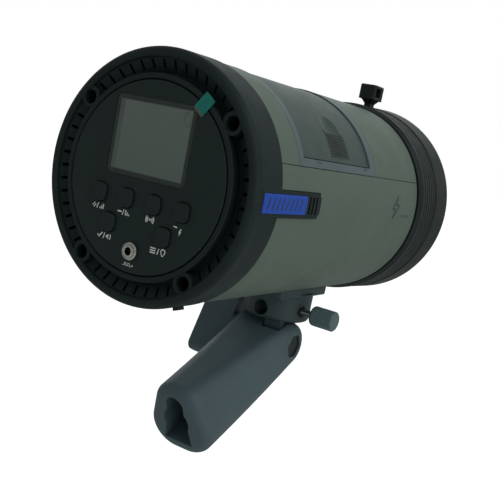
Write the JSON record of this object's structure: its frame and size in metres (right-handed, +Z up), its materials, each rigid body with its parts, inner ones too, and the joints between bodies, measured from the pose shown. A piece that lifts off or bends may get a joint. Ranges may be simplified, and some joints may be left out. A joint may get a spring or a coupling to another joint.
{
  "type": "monolight strobe",
  "caption": "Cylindrical battery monolight strobe with rear control panel, front accessory ring, tilting grip with stand socket and umbrella clamp.",
  "frame": {"origin": "centre of the stand socket's mouth in the end of the grip, which is what holds the light", "axes": "+Y forward along the optical axis of the head, +Z up, +X to the right seen from behind"},
  "size_m": [0.124, 0.2427, 0.222],
  "materials": {
    "black_cover": "fine-grained moulded plastic, satin",
    "panel_black": "fine-grained moulded plastic, matt",
    "body_green": "grey-green fine-texture paint",
    "frame_grey": "blue-grey satin plastic",
    "pack_grey": "dark grey satin plastic",
    "grip_grey": "slate-grey satin plastic",
    "bracket_metal": "slate-grey powder coat over die-cast alloy",
    "badge_blue": "bright blue satin plate",
    "screen": "clear hard-coated window with a dark printed border",
    "lcd": "unlit grey liquid-crystal panel",
    "film": "thin clear protective film",
    "tab_teal": "teal printed pull tab",
    "button_rubber": "matt silicone rubber",
    "chrome_jack": "bright nickel plate",
    "steel": "zinc-plated steel",
    "dark_steel": "blackened steel",
    "brass": "machined brass",
    "aluminium": "cast and machined aluminium",
    "reflector": "bright anodised spun aluminium",
    "ceramic": "white glazed ceramic",
    "quartz": "clear quartz tube",
    "frosted_glass": "frosted borosilicate glass",
    "led_yellow": "yellow phosphor under clear gel",
    "pcb": "green solder mask",
    "capacitor_sleeve": "dark heat-shrink sleeve",
    "foot_rubber": "beige-grey soft rubber"
  },
  "bodies": {
    "grip": {"grip_shell": "grip_grey", "tilt_bolt": "dark_steel", "friction_washers": "black_cover"},
    "head": {"rear_cover": "black_cover", "control_panel": "panel_black", "display_window": "screen", "display_module": "lcd", "screen_film": "film", "film_tab": "tab_teal", "badge_plate": "badge_blue", "sync_jack": "chrome_jack", "sync_jack_nut": "chrome_jack", "button_board": "pcb", "rear_cover_screws": "dark_steel", "rear_feet": "foot_rubber", "lower_shell": "body_green", "upper_rear_shell": "body_green", "upper_front_shell": "body_green", "battery_frame": "frame_grey", "battery_terminals": "brass", "front_ring": "black_cover", "bayonet_ring": "aluminium", "bayonet_screws": "steel", "reflector_pan": "reflector", "tube_base": "ceramic", "flash_tube": "quartz", "modeling_lamp": "led_yellow", "glass_dome": "frosted_glass", "heat_sink": "aluminium", "fan_frame": "black_cover", "main_board": "pcb", "capacitors": "capacitor_sleeve", "tilt_bracket": "bracket_metal", "bracket_screws": "steel", "umbrella_insert": "brass", "lever_spring": "steel"},
    "battery": {"battery_pack": "pack_grey"},
    "latch_right": {"battery_latch_right": "pack_grey"},
    "latch_left": {"battery_latch_left": "pack_grey"},
    "release": {"release_lever": "black_cover", "lock_pin": "steel"},
    "umbrella_clamp": {"umbrella_knob": "bracket_metal", "umbrella_screw": "steel"},
    "tilt_lock": {"tilt_lever": "bracket_metal"},
    "fan": {"fan_impeller": "black_cover"},
    "button_plus_cap": {"button_plus": "button_rubber"},
    "button_minus_cap": {"button_minus": "button_rubber"},
    "button_channel_cap": {"button_channel": "button_rubber"},
    "button_lamp_cap": {"button_lamp": "button_rubber"},
    "button_set_cap": {"button_set": "button_rubber"},
    "button_mode_cap": {"button_mode": "button_rubber"}
  },
  "joints": [
    {"name": "head_tilt", "type": "hinge", "parent": "grip", "child": "head", "pos_m": [0, 0.08084, 0.0377], "axis": [1, 0, 0], "range_deg": [-135, 10]},
    {"name": "tilt_lock_turn", "type": "hinge", "parent": "grip", "child": "tilt_lock", "pos_m": [-0.0354, 0.08084, 0.0377], "axis": [1, 0, 0], "range_deg": [0, 90]},
    {"name": "umbrella_clamp_turn", "type": "hinge", "parent": "head", "child": "umbrella_clamp", "pos_m": [0.03, 0.08164, 0.0594], "axis": [1, 0, 0], "range_deg": [0, 360]},
    {"name": "accessory_release", "type": "slide", "parent": "head", "child": "release", "axis": [0, -1, 0], "range_m": [0, 0.006], "stiffness_N_per_m": 400, "springref_m": -0.002, "deforming": ["lever_spring"]},
    {"name": "battery_lift", "type": "slide", "parent": "head", "child": "battery", "axis": [0, 0, 1], "range_m": [0, 0.05]},
    {"name": "latch_right_press", "type": "slide", "parent": "battery", "child": "latch_right", "axis": [-0.8443, 0, -0.5358], "range_m": [0, 0.0018], "stiffness_N_per_m": 600, "springref_m": -0.0015},
    {"name": "latch_left_press", "type": "slide", "parent": "battery", "child": "latch_left", "axis": [0.8443, 0, -0.5358], "range_m": [0, 0.0018], "stiffness_N_per_m": 600, "springref_m": -0.0015},
    {"name": "fan_spin", "type": "hinge", "parent": "head", "child": "fan", "pos_m": [0, 0.08764, 0.1286], "axis": [0, 1, 0], "continuous": true},
    {"name": "button_plus_press", "type": "slide", "parent": "head", "child": "button_plus_cap", "axis": [0, 1, 0], "range_m": [0, 0.0006], "stiffness_N_per_m": 1500, "springref_m": -0.0002},
    {"name": "button_minus_press", "type": "slide", "parent": "head", "child": "button_minus_cap", "axis": [0, 1, 0], "range_m": [0, 0.0006], "stiffness_N_per_m": 1500, "springref_m": -0.0002},
    {"name": "button_channel_press", "type": "slide", "parent": "head", "child": "button_channel_cap", "axis": [0, 1, 0], "range_m": [0, 0.0006], "stiffness_N_per_m": 1500, "springref_m": -0.0002},
    {"name": "button_lamp_press", "type": "slide", "parent": "head", "child": "button_lamp_cap", "axis": [0, 1, 0], "range_m": [0, 0.0006], "stiffness_N_per_m": 1500, "springref_m": -0.0002},
    {"name": "button_set_press", "type": "slide", "parent": "head", "child": "button_set_cap", "axis": [0, 1, 0], "range_m": [0, 0.0006], "stiffness_N_per_m": 1500, "springref_m": -0.0002},
    {"name": "button_mode_press", "type": "slide", "parent": "head", "child": "button_mode_cap", "axis": [0, 1, 0], "range_m": [0, 0.0006], "stiffness_N_per_m": 1500, "springref_m": -0.0002}
  ]
}
